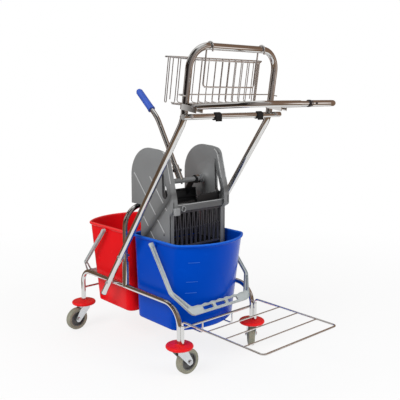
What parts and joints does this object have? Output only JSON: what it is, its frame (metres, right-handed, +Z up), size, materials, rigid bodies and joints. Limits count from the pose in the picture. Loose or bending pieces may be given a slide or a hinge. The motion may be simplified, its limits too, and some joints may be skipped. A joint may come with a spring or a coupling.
{
  "type": "double mop bucket trolley",
  "caption": "Cleaning trolley with a chrome tube frame on swivel casters, red and blue buckets with bail handles, a lever press wringer, a wire basket, a bag loop and a wire tray.",
  "frame": {"origin": "on the floor, under the middle of the trolley's bounding box", "axes": "+X towards the tray at the front, +Y to the right of a person who pushes it, +Z up"},
  "size_m": [1.0016, 0.49, 1.0735],
  "materials": {
    "chrome": "polished chrome plate",
    "bolts": "zinc plated",
    "dark_bolts": "dark zinc",
    "bracket": "plated sheet steel",
    "fork": "zinc plated",
    "tyre": "grey rubber",
    "hub": "grey plastic",
    "plug": "black plastic",
    "bumper": "red plastic",
    "red": "red plastic",
    "blue": "blue plastic",
    "bail": "light grey plastic",
    "wringer": "grey plastic",
    "lug": "grey plastic",
    "grid": "near black plastic",
    "shaft": "grey plastic sleeve on steel",
    "grip": "blue soft plastic",
    "clip": "black plastic"
  },
  "bodies": {
    "frame": {"side_frame_left": "chrome", "side_frame_right": "chrome", "front_cross_rail": "chrome", "rear_cross_rail": "chrome", "bucket_rods": "chrome", "post_sockets": "chrome", "wringer_hoop": "chrome", "push_handle": "chrome", "handle_plugs": "plug", "handle_bolts": "bolts", "tray_sockets": "chrome", "leg_plugs": "plug", "bumpers": "bumper", "bag_crossbar": "chrome", "crossbar_saddles": "chrome", "crossbar_bolts": "bolts", "crossbar_caps": "chrome", "bag_brackets": "bracket", "bag_hinge_bolts": "bolts"},
    "tray": {"tray": "chrome"},
    "basket": {"basket": "chrome"},
    "bag_clip_left": {"bag_clip_left": "clip"},
    "bag_clip_right": {"bag_clip_right": "clip"},
    "bag_loop": {"bag_loop_left": "chrome", "bag_loop_right": "chrome", "bag_loop_joiner": "chrome", "bag_loop_bolts": "dark_bolts"},
    "bucket_red": {"bucket_red": "red"},
    "bucket_blue": {"bucket_blue": "blue"},
    "bail_red": {"bail_red": "bail"},
    "bail_blue": {"bail_blue": "bail"},
    "wringer": {"wringer_plate_left": "wringer", "wringer_plate_right": "wringer", "wringer_beam": "wringer", "wringer_lug": "lug", "wringer_grid": "grid", "drain_floor": "grid"},
    "press": {"press_shaft": "shaft", "shaft_collars": "chrome", "press_plate": "grid", "lever_socket": "chrome", "lever_bolt": "dark_bolts", "lever_tube": "chrome", "lever_grip": "grip"},
    "caster_fl": {"fork_fl": "fork", "axle_fl": "bolts"},
    "wheel_fl": {"hub_fl": "hub", "tyre_fl": "tyre"},
    "caster_fr": {"fork_fr": "fork", "axle_fr": "bolts"},
    "wheel_fr": {"hub_fr": "hub", "tyre_fr": "tyre"},
    "caster_rl": {"fork_rl": "fork", "axle_rl": "bolts"},
    "wheel_rl": {"hub_rl": "hub", "tyre_rl": "tyre"},
    "caster_rr": {"fork_rr": "fork", "axle_rr": "bolts"},
    "wheel_rr": {"hub_rr": "hub", "tyre_rr": "tyre"}
  },
  "joints": [
    {"name": "tray_lift", "type": "slide", "parent": "frame", "child": "tray", "axis": [0, 0, 1], "range_m": [0, 0.06]},
    {"name": "basket_lift", "type": "slide", "parent": "frame", "child": "basket", "axis": [0.1544, 0, 0.988], "range_m": [0, 0.04]},
    {"name": "clip_left_slide", "type": "slide", "parent": "frame", "child": "bag_clip_left", "axis": [0, 1, 0], "range_m": [-0.06, 0.06]},
    {"name": "clip_right_slide", "type": "slide", "parent": "frame", "child": "bag_clip_right", "axis": [0, 1, 0], "range_m": [-0.06, 0.04]},
    {"name": "bag_loop_fold", "type": "hinge", "parent": "frame", "child": "bag_loop", "pos_m": [0.23925, 0, 0.876], "axis": [0, -1, 0], "range_deg": [0, 80]},
    {"name": "bucket_red_lift", "type": "slide", "parent": "frame", "child": "bucket_red", "axis": [0, 0, 1], "range_m": [0, 0.05]},
    {"name": "bucket_blue_lift", "type": "slide", "parent": "frame", "child": "bucket_blue", "axis": [0, 0, 1], "range_m": [0, 0.05]},
    {"name": "bail_red_swing", "type": "hinge", "parent": "bucket_red", "child": "bail_red", "pos_m": [-0.31175, 0, 0.408], "axis": [0, 1, 0], "range_deg": [0, 130]},
    {"name": "bail_blue_swing", "type": "hinge", "parent": "bucket_blue", "child": "bail_blue", "pos_m": [-0.01775, 0, 0.408], "axis": [0, -1, 0], "range_deg": [0, 95]},
    {"name": "wringer_lift", "type": "slide", "parent": "frame", "child": "wringer", "axis": [0, 0, 1], "range_m": [0, 0.05]},
    {"name": "press_lever", "type": "hinge", "parent": "wringer", "child": "press", "pos_m": [-0.06175, 0, 0.608], "axis": [0, -1, 0], "range_deg": [0, 25]},
    {"name": "swivel_fl", "type": "hinge", "parent": "frame", "child": "caster_fl", "pos_m": [0.13125, -0.17, 0.092], "axis": [0, 0, 1], "continuous": true},
    {"name": "roll_fl", "type": "hinge", "parent": "caster_fl", "child": "wheel_fl", "pos_m": [0.13125, -0.137, 0.042], "axis": [-1, 0, 0], "continuous": true},
    {"name": "swivel_fr", "type": "hinge", "parent": "frame", "child": "caster_fr", "pos_m": [0.13125, 0.17, 0.092], "axis": [0, 0, 1], "continuous": true},
    {"name": "roll_fr", "type": "hinge", "parent": "caster_fr", "child": "wheel_fr", "pos_m": [0.10673, 0.19208, 0.042], "axis": [-0.6691, -0.7431, 0], "continuous": true},
    {"name": "swivel_rl", "type": "hinge", "parent": "frame", "child": "caster_rl", "pos_m": [-0.45475, -0.17, 0.092], "axis": [0, 0, 1], "continuous": true},
    {"name": "roll_rl", "type": "hinge", "parent": "caster_rl", "child": "wheel_rl", "pos_m": [-0.45475, -0.203, 0.042], "axis": [1, 0, 0], "continuous": true},
    {"name": "swivel_rr", "type": "hinge", "parent": "frame", "child": "caster_rr", "pos_m": [-0.45475, 0.17, 0.092], "axis": [0, 0, 1], "continuous": true},
    {"name": "roll_rr", "type": "hinge", "parent": "caster_rr", "child": "wheel_rr", "pos_m": [-0.45475, 0.203, 0.042], "axis": [-1, 0, 0], "continuous": true}
  ]
}
